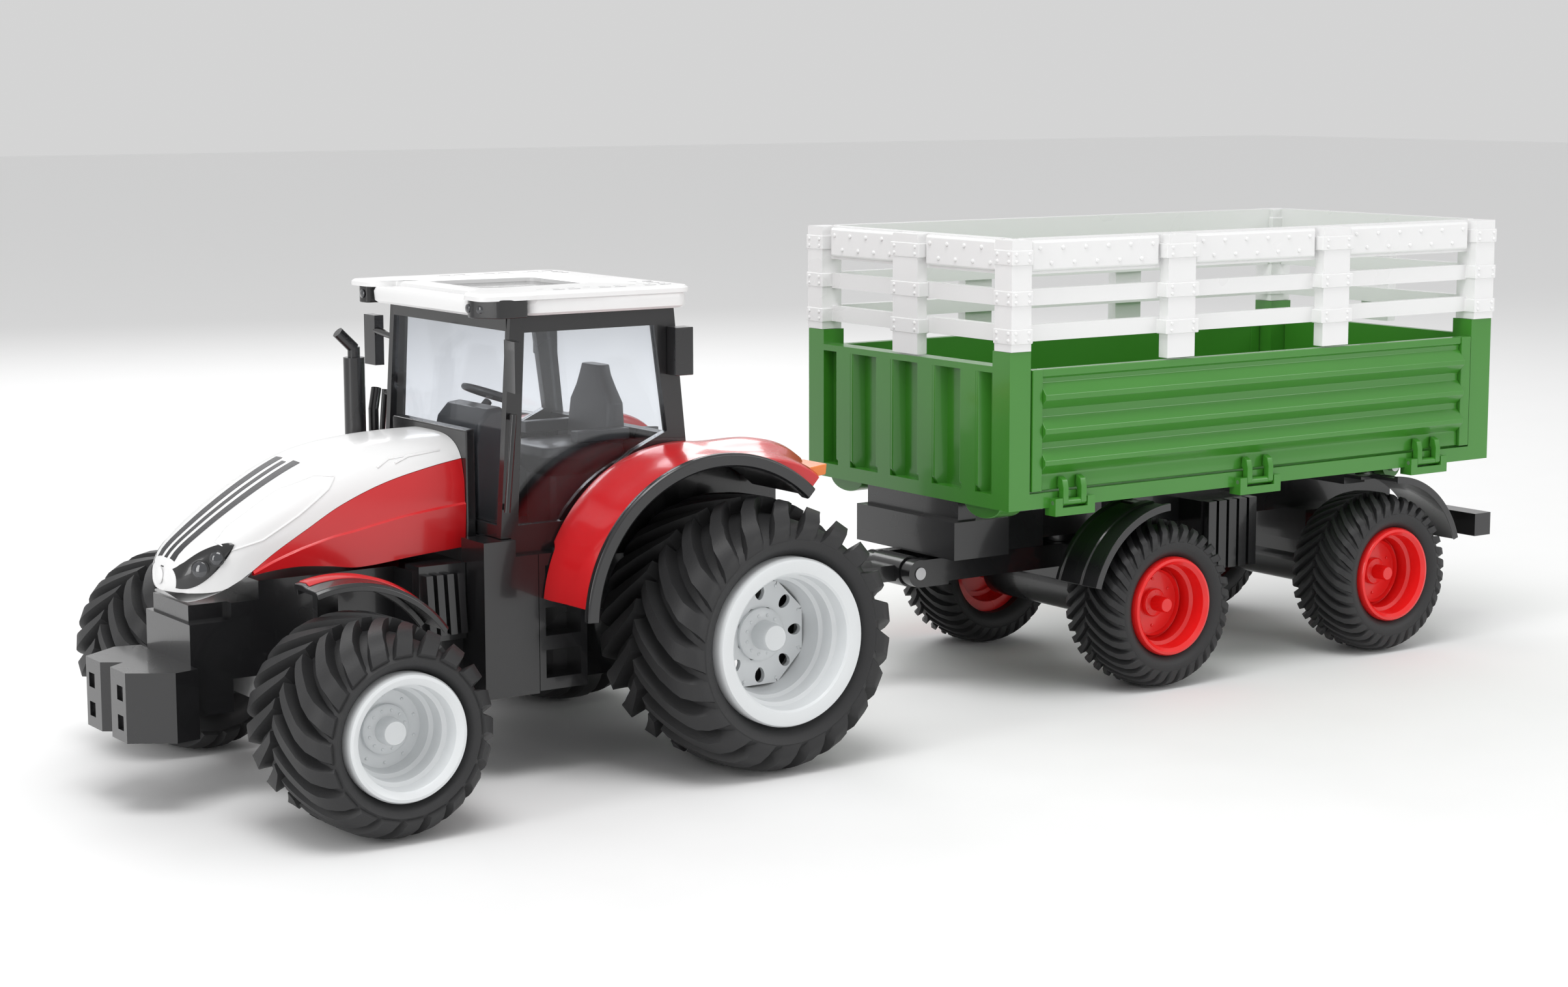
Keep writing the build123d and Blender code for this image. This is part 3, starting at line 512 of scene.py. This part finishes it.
def build_hood():
    stations = [70.2 + i * 1.6 for i in range(50)]
    stations = [x for x in stations if x < 149] + [149.2, 150.0, 150.7, 151.3, 151.8]
    white = Shape()
    rows = []
    for x in stations:
        top = curve_at(HOOD_TOP, x)
        low = curve_at(HOOD_LOW, x)
        line = max(low, curve_at(HOOD_LINE, x))
        half = []
        for k in range(25):
            t = k / 24
            z = line + (top - line) * math.sin(t * math.pi / 2)
            half.append((x, hood_y(x, z) if k < 24 else 0.0, z))
        ring = half + [(p[0], -p[1], p[2]) for p in reversed(half[:-1])]
        rows.append(ring)
    white.grid(rows)
    last = rows[-1]
    white.add(last, [tuple(range(len(last)))])
    first = rows[0]
    white.add(first, [tuple(reversed(range(len(first))))])
    under = []
    for x, ring in zip(stations, rows):
        under.append([(x, ring[0][1] * f, curve_at(HOOD_LOW, x) if x > 134 else ring[0][2])
                      for f in (1.0, 0.0, -1.0)])
    white.grid(under)
    white.make("hood_top", WHITE, "tractor", "white_plastic", ("hood",), angle=50)

    red = Shape()
    rows = []
    for x in stations:
        if x > 133.6:
            break
        low = curve_at(HOOD_LOW, x)
        line = curve_at(HOOD_LINE, x)
        crease = low + (line - low) * (0.50 + 0.05 * (x - 70) / 60)
        levels = [low, low + 0.5 * (crease - low), crease - 0.25, crease + 0.25,
                  crease + 0.5 * (line - crease), line - 0.15]
        out = [0.55, 0.75, 0.85, 0.15, 0.1, 0.05]
        rows.append([(x, hood_y(x, z) + o, z) for z, o in zip(levels, out)])
    red.grid(rows)
    inner = [[(p[0], p[1] - 1.4, p[2]) for p in row] for row in rows]
    red.grid(inner, flip=True)
    red.grid([[row[0] for row in rows], [row[0] for row in inner]])
    red.grid([[row[-1] for row in rows], [row[-1] for row in inner]])
    red.add(rows[0] + list(reversed(inner[0])), [tuple(range(len(rows[0]) * 2))])
    red.both_sides().make("hood_side_panels", RED, "tractor", "red_plastic", ("hood_panels",), angle=28)

    for centre, wide in ((0.0, 2.6), (5.6, 4.0), (-5.6, 4.0)):
        strip = Shape()
        rows = []
        for i in range(29):
            x = 113.5 + 36.4 * i / 28
            spread = 1.0 - 0.26 * (i / 28) ** 2
            middle = centre * spread
            w = wide / 2 * (1.12 - 0.35 * i / 28)
            row = []
            for f in (-1, -0.5, 0, 0.5, 1):
                y = middle + f * w
                row.append((x + (1.2 if centre == 0 else 0), y, hood_z(x + (1.2 if centre == 0 else 0), y) + 0.09))
            rows.append(row)
        strip.grid(rows)
        strip.make("hood_stripe_" + ("mid" if centre == 0 else "left" if centre > 0 else "right"), STRIPE,
                   "tractor", "black_plastic")

    bead = Shape()
    for s in (-1, 1):
        path = []
        outline = [(141.5, 71.6), (133, 79.6), (124, 84.0), (113.5, 87.6), (108.5, 87.2), (111, 84.0),
                   (120, 77.6), (130, 71.6), (138.5, 69.2), (141.5, 71.6)]
        for (xa, za), (xb, zb) in zip(outline, outline[1:]):
            for k in range(5):
                t = k / 5
                x = xa + (xb - xa) * t
                z = min(za + (zb - za) * t, curve_at(HOOD_TOP, x) - 1.2)
                path.append((x, s * (hood_y(x, z) + 0.02), z))
        bead.tube(path + [path[0]], 0.28, 6)
        for outline in (((96, 88.6), (92, 90.6), (80, 91.6)), ((90.5, 89.4), (86, 90.9), (76, 91.8))):
            path = [(x, s * (hood_y(x, z) + 0.05), z) for x, z in outline]
            bead.tube(path, 0.38, 6)
    disc = (152.0, 0.0, 61.6)
    bead.dome(disc, (1, 0, 0.08), 2.3, 0.5, 24)
    bead.make("hood_relief", WHITE, "tractor", "white_plastic")

    bezel = Shape()
    glass = Shape()
    ring = Shape()
    for s in (-1, 1):
        rows = []
        for i in range(21):
            u = i / 20
            x = 150.7 - 13.2 * u
            mid_z = 61.6 + 9.2 * u ** 1.15
            tall = 4.4 * math.sin(math.pi * min(1.0, 0.12 + 0.88 * u)) ** 0.62 * (1 - 0.28 * u) + 0.1
            row = []
            for k in range(9):
                v = -1 + k / 4
                z = mid_z + v * tall
                bulge = 0.55 - 0.35 * v * v
                row.append((x, s * (max(hood_y(x, z), 0.5) + bulge), z))
            rows.append(row)
        bezel.grid(rows)
        for u, r in ((0.36, 2.25), (0.66, 1.9)):
            x = 150.7 - 13.2 * u
            z = 61.6 + 9.2 * u ** 1.15
            y = hood_y(x, z) + 0.55
            out = Vector((0.75 if u < 0.5 else 0.55, s * 0.75, 0.18)).normalized()
            glass.dome((x, s * y, z), out, r, 0.75, 24)
            ring.dome((x, s * y, z), out, r * 1.16, 0.42, 24)
    bezel.make("headlamp_bezels", BLACK, "tractor", "lamp_black", ("headlamps",), angle=60)
    glass.make("headlamp_lenses", LENS, "tractor", "lamp_black")
    ring.make("headlamp_rings", BLACK, "tractor", "lamp_black")


# ---------------------------------------------------------------- fenders
def build_fenders():
    red = Shape()
    rows = []
    for i in range(57):
        deg = 6 + 128 * i / 56
        a = math.radians(deg)
        swell = smooth_step((deg - 96) / 40) * 9.5
        crest = 44.9 + swell
        lift = 0.6 * smooth_step((deg - 30) / 40)
        section = [(36.1, 42.2), (36.1, crest - 1.5), (36.7, crest - 0.5 + lift), (38.5, crest + 0.1 + lift),
                   (43.0, crest + 0.2 + lift), (47.5, crest - 0.5), (53.0, crest - 1.1 - swell * 0.25),
                   (60.0, crest - 1.4 - swell * 0.35), (61.8, crest - 1.9 - swell * 0.4),
                   (62.0, 42.4), (49.0, 42.2)]
        if deg < 26:
            section = [(max(y, 39.4), r) for y, r in section]
        rows.append([(11 + r * math.cos(a), y, 46 + r * math.sin(a)) for y, r in section])
    red.solid(rows)
    wall = [(44, 60), (50, 60)]
    for i in range(13):
        a = math.radians(16 + 74 * i / 12)
        wall.append((11 + 44 * math.cos(a), 46 + 44 * math.sin(a)))
    wall += [(-10, 87), (-27, 86), (-27, 60)]
    liner = Shape()
    liner.prism_y(wall, 31.8, 33.3)
    rows = []
    for i in range(49):
        a = math.radians(8 + 124 * i / 48)
        rows.append([(11 + r * math.cos(a), y, 46 + r * math.sin(a))
                     for y, r in ((40.0 if i < 10 else 36.2, 41.3), (61.9, 41.3), (61.9, 42.15),
                                  (40.0 if i < 10 else 36.2, 42.15))])
    liner.solid(rows)
    liner.both_sides().make("arch_liners", BLACK, "tractor", "black_plastic")
    red.prism_y([(5.5, 88.4), (-26.8, 85.6), (-26, 82), (5.5, 85)], 33, 36.6)
    red.both_sides().make("rear_wheel_arches", RED, "tractor", "red_plastic", ("rear_fenders",), bevel=0.35,
                          angle=40)

    lip = Shape()
    rows = []
    for i in range(65):
        a = math.radians(2 + 132 * i / 64)
        section = [(60.5, 41.0), (60.5, 44.0), (62.2, 44.8), (63.5, 44.8), (64.0, 44.3), (64.0, 41.4),
                   (63.6, 40.9)]
        rows.append([(11 + r * math.cos(a), y, 46 + r * math.sin(a)) for y, r in section])
    lip.solid(rows)
    lip.both_sides().make("arch_lips", BLACK, "tractor", "black_plastic", ("fender_lips",), bevel=0.2)

    marker = Shape()
    marker.prism_y([(-20.5, 83.6), (-27.4, 84.4), (-27.0, 81.2), (-21, 80.6)], 47, 59)
    marker.both_sides().make("rear_markers", ORANGE, "tractor", "red_plastic", bevel=0.3)

    for side, word in ((1, "left"), (-1, "right")):
        guard = Shape()
        rows = []
        for i in range(41):
            a = math.radians(74 + 71 * i / 40)
            section = [(36.9, 32.6), (36.9, 35.2), (38.0, 36.0), (42.5, 36.2), (44.5, 35.6), (50.2, 35.4),
                       (51.0, 34.6), (51.0, 33.2), (50.0, 34.0), (38.2, 34.2), (38.0, 32.6)]
            rows.append([(120 + r * math.cos(a), y, 28 + r * math.sin(a)) for y, r in section])
        guard.solid(rows)
        top = Shape()
        rows = []
        for i in range(41):
            a = math.radians(76 + 67 * i / 40)
            section = [(37.4, 35.4), (38.4, 36.35), (42.6, 36.55), (44.2, 35.9), (44.0, 35.0), (38.0, 35.0)]
            rows.append([(120 + r * math.cos(a), y, 28 + r * math.sin(a)) for y, r in section])
        top.solid(rows)
        if side < 0:
            guard = guard.mirrored()
            top = top.mirrored()
        guard.make("front_mudguard_" + word, BLACK, "steer_" + word, "black_plastic",
                   ("front_fender_" + word,), bevel=0.2)
        top.make("front_mudguard_cap_" + word, RED, "steer_" + word, "red_plastic", bevel=0.2)

    for x, z, body, node, a0, a1 in ((-165, 27, "dolly", "dolly_fenders", 16, 88),
                                     (-266, 27, "trailer", "trailer_rear_fenders", 92, 163)):
        guard = Shape()
        rows = []
        for i in range(41):
            a = math.radians(a0 + (a1 - a0) * i / 40)
            section = [(36.0, 31.6), (36.0, 33.2), (37.4, 33.2), (38.0, 32.7), (43.6, 32.7), (44.2, 33.2),
                       (47.8, 33.2), (48.4, 32.7), (54.0, 32.7), (54.6, 33.4), (56.0, 33.4), (56.0, 31.0),
                       (55.0, 31.6)]
            rows.append([(x + r * math.cos(a), y, z + r * math.sin(a)) for y, r in section])
        guard.solid(rows)
        low = x - 6 if x < -200 else x
        guard.block(low, low + 10 if x < -200 else low + 6, 36, 44, 58.3, 59.6)
        guard.both_sides().make(node + "_shaped", BLACK, body, "black_plastic", (node,), bevel=0.15)


# ---------------------------------------------------------------- cab
def rounded_plan(points, radius, count=5):
    """Outline with rounded corners."""
    out = []
    n = len(points)
    for i in range(n):
        p = Vector(points[i])
        a = (Vector(points[i - 1]) - p)
        b = (Vector(points[(i + 1) % n]) - p)
        cut = min(radius, a.length * 0.45, b.length * 0.45)
        start = p + a.normalized() * cut
        stop = p + b.normalized() * cut
        for k in range(count + 1):
            t = k / count
            q = start * (1 - t) ** 2 + p * (2 * t * (1 - t)) + stop * t ** 2
            out.append((q.x, q.y))
    return out


def build_cab():
    lower = rounded_plan([(6, 36), (9, 40.4), (59.5, 40.4), (61, 29.6), (72.6, 29.6), (72.6, -29.6),
                          (61, -29.6), (59.5, -40.4), (9, -40.4), (6, -36)], 3)
    cap = Shape()
    rings = []
    for grow, z in ((0.975, 129.9), (0.995, 130.6), (1.0, 133.2), (0.985, 134.6)):
        rings.append([(30 + (x - 30) * grow, y * grow, z) for x, y in lower])
    cap.solid(rings)
    brim = rounded_plan([(5.4, 37), (8.6, 41), (57, 41), (59.5, 41.6), (74.5, 40.4), (73.8, 28), (66, 24),
                         (66, -24), (73.8, -28), (74.5, -40.4), (59.5, -41.6), (57, -41), (8.6, -41),
                         (5.4, -37)], 3)
    hatch = rounded_plan([(26, 17), (62, 19), (62, -19), (26, -17)], 6, 6)
    hatch_ring = []
    count = len(brim)
    centre = Vector((40, 0))
    for x, y in brim:
        way = Vector((x, y)) - centre
        best = None
        for i in range(len(hatch)):
            p = Vector(hatch[i]) - centre
            q = Vector(hatch[(i + 1) % len(hatch)]) - centre
            cross = way.x * (q.y - p.y) - way.y * (q.x - p.x)
            if abs(cross) < 1e-9:
                continue
            t = (p.x * (q.y - p.y) - p.y * (q.x - p.x)) / cross
            u = (p.x * way.y - p.y * way.x) / cross
            if t > 0 and -0.001 <= u <= 1.001:
                best = t
        hatch_ring.append((centre.x + way.x * best, centre.y + way.y * best))
    outer_low = [(x, y, 134.4) for x, y in brim]
    outer_mid = [(x, y, 135.6) for x, y in brim]
    outer_top = [(40 + (x - 40) * 0.982, y * 0.982, 136.2) for x, y in brim]
    inner_top = [(40 + (x - 40) * 1.06, y * 1.06, 136.4) for x, y in hatch_ring]
    inner_lip = [(x, y, 136.0) for x, y in hatch_ring]
    inner_low = [(x, y, 134.7) for x, y in hatch_ring]
    cap.grid([outer_low, outer_mid, outer_top, inner_top, inner_lip, inner_low], close_v=True)
    cap.add(outer_low, [tuple(range(count))])
    cap.make("roof_cap", WHITE, "tractor", "white_plastic", ("cab_roof",), bevel=0.25, angle=40)

    pane = Shape()
    pane.prism_z(hatch, 134.3, 134.9)
    pane.make("roof_hatch", BLACK, "tractor", "black_plastic")

    marks = Shape()
    for row in range(4):
        for i in range(9):
            x = 9.4 + 5.0 * i
            y = 24 + 3.2 * row
            if i % 3 == 2 and row % 2:
                continue
            wide = 3.6 if row % 2 else 2.2
            if abs(y) < 37:
                marks.block(x, x + wide, y, y + 0.35, 136.22, 136.3)
                marks.block(x, x + wide, -y, -y - 0.35, 136.22, 136.3)
    for i in range(6):
        marks.block(8 + 5 * i, 11 + 5 * i, 20.6, 21.0, 136.24, 136.32)
    marks.make("roof_dashes", PRINT, "tractor", "black_plastic")

    lamps = Shape()
    eyes = Shape()
    for s in (-1, 1):
        plan = rounded_plan([(60, s * 30.4), (73.4, s * 30.4), (74.2, s * 34), (69, s * 41.2), (60, s * 41.2)], 1.2, 3)
        lamps.prism_z(plan, 129.6, 134.7)
        for y, z in ((32.2, 132.2), (36.0, 132.0)):
            x = 74.0 if y < 34 else 72.4
            out = (1, 0, 0) if y < 34 else (0.85, s * 0.5, 0)
            eyes.dome((x, s * y, z), out, 1.25, 0.5, 20)
        lamps.block(6.5, 12.5, s * 36.1, s * 41, 110.6, 124.4)
    lamps.make("lamp_pods", BLACK, "tractor", "lamp_black", ("work_lamps",), bevel=0.35)
    eyes.make("lamp_pod_lenses", LENS, "tractor", "lamp_black")

    seat = Shape()
    rings = []
    for x0, x1, w, z in ((14, 35, 8.5, 63.6), (14, 35, 8.5, 80), (11.2, 38, 11.5, 83), (11, 39, 12.5, 86),
                         (11.2, 38, 12, 88.4), (12, 36, 11, 89)):
        plan = rounded_plan([(x0, -w), (x1, -w), (x1, w), (x0, w)], 4, 3)
        rings.append([(x, y, z) for x, y in plan])
    seat.solid(rings)
    rings = []
    for x0, x1, w, z in ((11.2, 18.6, 11.5, 87), (11.2, 18.2, 12, 92), (11.4, 17.4, 11.6, 100),
                         (11.8, 17.2, 8.4, 104.5), (12.2, 17.2, 6.4, 108), (12.4, 16.8, 5.4, 111)):
        plan = rounded_plan([(x0, -w), (x1, -w), (x1, w), (x0, w)], 2.4, 3)
        rings.append([(x, y, z) for x, y in plan])
    seat.solid(rings)
    for s in (-1, 1):
        seat.block(13, 31, s * 13, s * 16.5, 90, 93.5)
    seat.make("driver_seat", GREY, "tractor", "dark_grey", ("seat",), bevel=0.4)

    dash = Shape()
    outline = [(49, 63.6), (61.6, 63.6), (62, 92), (60.6, 98), (57.4, 101.4), (53.4, 101.9), (50.4, 99.4),
               (49, 92)]
    rings = []
    for y, grow in ((-13, 0.94), (-12, 1.0), (12, 1.0), (13, 0.94)):
        rings.append([(55 + (x - 55) * grow, y, 80 + (z - 80) * grow) for x, z in outline])
    dash.solid(rings)
    dash.block(10, 48, -30.8, -22, 63.6, 84)
    dash.block(10, 26, 22, 30.8, 63.6, 80)
    dash.tube([(54.6, 0, 98), (50.4, 0, 102.4)], 1.3)
    dash.make("dash_console", GREY, "tractor", "dark_grey", ("dashboard",), bevel=0.5)

    arch = Shape()
    arch.prism_y([(67.2, 64), (70.1, 64), (70.1, 97.2), (67.2, 97.6)], -22.4, 22.4)
    arch.make("hood_rear_arch", BLACK, "tractor", "black_plastic", bevel=0.5)


# ---------------------------------------------------------------- trailer
def gate_profile(s):
    """Section of a drop side, in y and z, with three broad folded ridges."""
    face = [(52.4, 68.4), (52.4, 72.6)]
    for z0, z1 in ((73.4, 81.4), (83.2, 91.2), (93.6, 101.8)):
        face += [(52.2, z0), (55.1, z0 + 3.0), (55.1, z1 - 3.6), (52.2, z1)]
    face += [(52.4, 103.2), (53.2, 103.8), (53.2, 106.0), (50.0, 106.0), (50.0, 68.4)]
    return [(s * y, z) for y, z in face]


def build_trailer():
    for s, word in ((1, "left"), (-1, "right")):
        gate = Shape()
        profile = gate_profile(s)
        gate.solid([[(x, y, z) for y, z in profile] for x in (-299.5, -112.5)])
        for x0, x1 in ((-304.0, -299.5), (-112.5, -108.6)):
            gate.block(x0, x1, s * 50, s * 53.6, 68.3, 106)
        for x0, x1 in ((-132, -116), (-212, -194), (-291, -273.5)):
            a, b = x0 + 3.25, x1 - 3.25
            for start in (a, b - 2.2):
                gate.solid([[(x, s * y, z) for y, z in ((53.0, 72.6), (55.2, 71.6), (55.9, 69.0), (55.9, 64.2),
                                                        (55.2, 63.4), (54.0, 63.4), (53.5, 64.2), (53.5, 68.4),
                                                        (52.6, 69.2))] for x in (start, start + 2.2)])
            gate.tube([(a, s * 54.6, 64.5), (b, s * 54.6, 64.5)], 1.15, 16)
        gate.make("drop_side_" + word, GREEN, "gate_" + word, "green_plastic", ("side_gate_" + word,),
                  bevel=0.25)

    rivets = Shape()
    straps = Shape()
    bands = ((114.2, 118.8), (125.8, 130.4), (138.2, 142.8))
    for s in (-1, 1):
        for x0, x1 in ((-175, -163.4), (-244, -232)):
            for z0, z1 in bands:
                straps.block(x0 - 1.2, x1 + 1.2, s * 49.4, s * 54.2, z0, z1)
                for x in (x0 + 1.2, x1 - 1.2):
                    for z in (z0 + 1.2, z1 - 1.2):
                        rivets.dome((x, s * 54.2, z), (0, s, 0), 0.62, 0.5, 10)
        for x0, x1, way in ((-107.9, -99.5, 1), (-314.8, -304.6, -1)):
            face_x = x1 if way > 0 else x0
            for z0, z1 in bands:
                straps.block(x0, x1, s * 45.0, s * 54.2, z0, z1)
                for x in (x0 + 1.6, x1 - 1.6):
                    for z in (z0 + 1.2, z1 - 1.2):
                        rivets.dome((x, s * 54.2, z), (0, s, 0), 0.62, 0.5, 10)
                for y in (46.8, 52.4):
                    for z in (z0 + 1.2, z1 - 1.2):
                        rivets.dome((face_x, s * y, z), (way, 0, 0), 0.62, 0.5, 10)
        for x0, x1 in ((-161.4, -109.4), (-230.2, -176.8), (-303.4, -245.8)):
            straps.solid([[(xa, s * y, z) for xa, z in ((x0 + c, 136.0 + c), (x1 - c, 136.0 + c),
                                                        (x1 - c, 145.4 - c), (x0 + c, 145.4 - c))]
                          for y, c in ((49.5, 0.0), (51.0, 0.0), (51.6, 0.6))])
            for i in range(11):
                x = x0 + 3 + (x1 - x0 - 6) * i / 10
                z = 143.0 if i % 2 == 0 else 138.4
                rivets.dome((x, s * 51.6, z), (0, s, 0), 0.75, 0.6, 10)
    for end, way in ((-103.6, 1), (-312.4, -1)):
        for y0, y1 in ((-43.5, -8.0), (8.0, 43.5)):
            straps.solid([[(end + way * d, y, z) for y, z in ((y0 + c, 136.0 + c), (y1 - c, 136.0 + c),
                                                              (y1 - c, 145.4 - c), (y0 + c, 145.4 - c))]
                          for d, c in ((-0.1, 0.0), (1.4, 0.0), (2.0, 0.6))])
            for i in range(8):
                y = y0 + 2.6 + (y1 - y0 - 5.2) * i / 7
                z = 143.0 if i % 2 == 0 else 138.4
                rivets.dome((end + 2.0 * way, y, z), (way, 0, 0), 0.75, 0.6, 10)
        face_x = -99.5 if way > 0 else -316.5
        for z0, z1 in bands:
            straps.block(min(face_x, end), max(face_x, end), -7.6, 7.6, z0, z1)
            for y in (-5.4, 5.4):
                for z in (z0 + 1.2, z1 - 1.2):
                    rivets.dome((face_x, y, z), (way, 0, 0), 0.62, 0.5, 10)
    rivets.make("rack_rivets", WHITE, "rack", "white_plastic")
    straps.make("rack_straps", WHITE, "rack", "white_plastic", bevel=0.3)

    ribs = Shape()
    for i in range(4):
        y = -33 + 22 * i
        rings = []
        for z, out in ((65.6, 0.4), (69.5, 1.0), (106.4, 1.0)):
            deep = -104.2 + 4.35 * out
            rings.append([(-104.2, y - 6.4, z), (deep, y - 4.6, z), (deep, y + 4.6, z), (-104.2, y + 6.4, z)])
        ribs.solid(rings)
    for side in (-1, 1):
        rim_points = [(side * 36 + 9 * math.cos(math.pi * k / 16), 63.2 - 4.6 * math.sin(math.pi * k / 16))
                      for k in range(17)]
        ribs.solid([[(x, y, z) for y, z in rim_points] for x in (-112, -103)])
    ribs.make("front_wall_ribs", GREEN, "bed", "green_plastic", bevel=0.3)


# ---------------------------------------------------------------- CAD pieces
def dress_cad():
    looks = {
        "black_plastic": (BLACK, 0.4), "dark_grey": (GREY, 0.4), "white_plastic": (WHITE, 0.35),
        "red_plastic": (RED, 0.3), "green_plastic": (GREEN, 0.3), "steel": (STEEL, 0.12),
        "rubber": (RUBBER, 0.2), "rim_white": (RIM, 0.2), "trailer_red": (TRAILER_RED, 0.2),
        "clear": (WINDOW, 0.0), "lamp_black": (BLACK, 0.2),
    }
    slots = {part["node"]: part["material_slot"] for part in frame["record"]["subparts"]}
    for node, obj in frame["nodes"].items():
        material, bevel = looks[slots[node]]
        if node in ("cab_frame",):
            bevel = 0.8
        if node in ("front_weight", "side_tanks", "cab_steps"):
            bevel = 0.6
        if node in ("exhaust_stack", "intake_pipe", "grab_handles", "steering_wheel"):
            bevel = 0.15
        finish_mesh(obj, material, bevel)


def build_room():
    floor = bpy.data.meshes.new("floor")
    floor.from_pydata([(-6, -6, 0), (6, -6, 0), (6, 6, 0), (-6, 6, 0)], [], [(0, 1, 2, 3)])
    ground = bpy.data.objects.new("floor", floor)
    bpy.context.scene.collection.objects.link(ground)
    floor.materials.append(base_material("floor_white", (0.93, 0.93, 0.93), 0.65, mottle=0.004, bump=0.0))
    ground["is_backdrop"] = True
    world = bpy.data.worlds.new("studio")
    world.use_nodes = True
    sky = world.node_tree.nodes["Background"]
    sky.inputs["Color"].default_value = (1.0, 1.0, 1.0, 1)
    sky.inputs["Strength"].default_value = 0.66
    bpy.context.scene.world = world
    bpy.context.scene.view_settings.view_transform = "Standard"
    bpy.context.scene.view_settings.look = "None"

    def area(name, spot, aim, power, size, size_y):
        data = bpy.data.lights.new(name, "AREA")
        data.shape = "RECTANGLE"
        data.energy = power
        data.size = size
        data.size_y = size_y
        lamp = bpy.data.objects.new(name, data)
        lamp.location = spot
        lamp.rotation_euler = (Vector(aim) - Vector(spot)).to_track_quat("-Z", "Y").to_euler()
        bpy.context.scene.collection.objects.link(lamp)

    area("key", (0.30, 0.30, 1.10), (0, 0, 0.05), 5.2, 0.6, 0.5)
    area("side", (-0.75, 0.9, 0.5), (-0.05, 0, 0.06), 2.0, 0.6, 0.3)
    area("nose", (1.1, 0.25, 0.35), (0.15, 0, 0.05), 2.4, 0.25, 0.6)
    area("back", (-0.3, -1.0, 0.7), (0, 0, 0.08), 4.0, 1.0, 0.4)


def build_camera():
    data = bpy.data.cameras.new("camera")
    data.sensor_width = 36.0
    data.lens = 65.04
    data.shift_x = -0.0252
    data.shift_y = -0.0184
    data.clip_start = 0.02
    camera = bpy.data.objects.new("camera", data)
    camera.location = place(442.2, 718.2, 195.5)
    way = Vector((-0.57376, -0.80758, -0.13640))
    camera.rotation_euler = way.to_track_quat("-Z", "Y").to_euler()
    bpy.context.scene.collection.objects.link(camera)
    bpy.context.scene.camera = camera


dress_cad()
build_wheels()
build_hood()
build_fenders()
build_cab()
build_trailer()
build_room()
build_camera()

END_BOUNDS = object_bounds()


def plain(value):
    if hasattr(value, "tolist"):
        return value.tolist()
    if isinstance(value, (list, tuple)):
        return [plain(v) for v in value]
    try:
        return [float(v) for v in value]
    except TypeError:
        return float(value)


{"start": plain(START_BOUNDS), "end": plain(END_BOUNDS)}
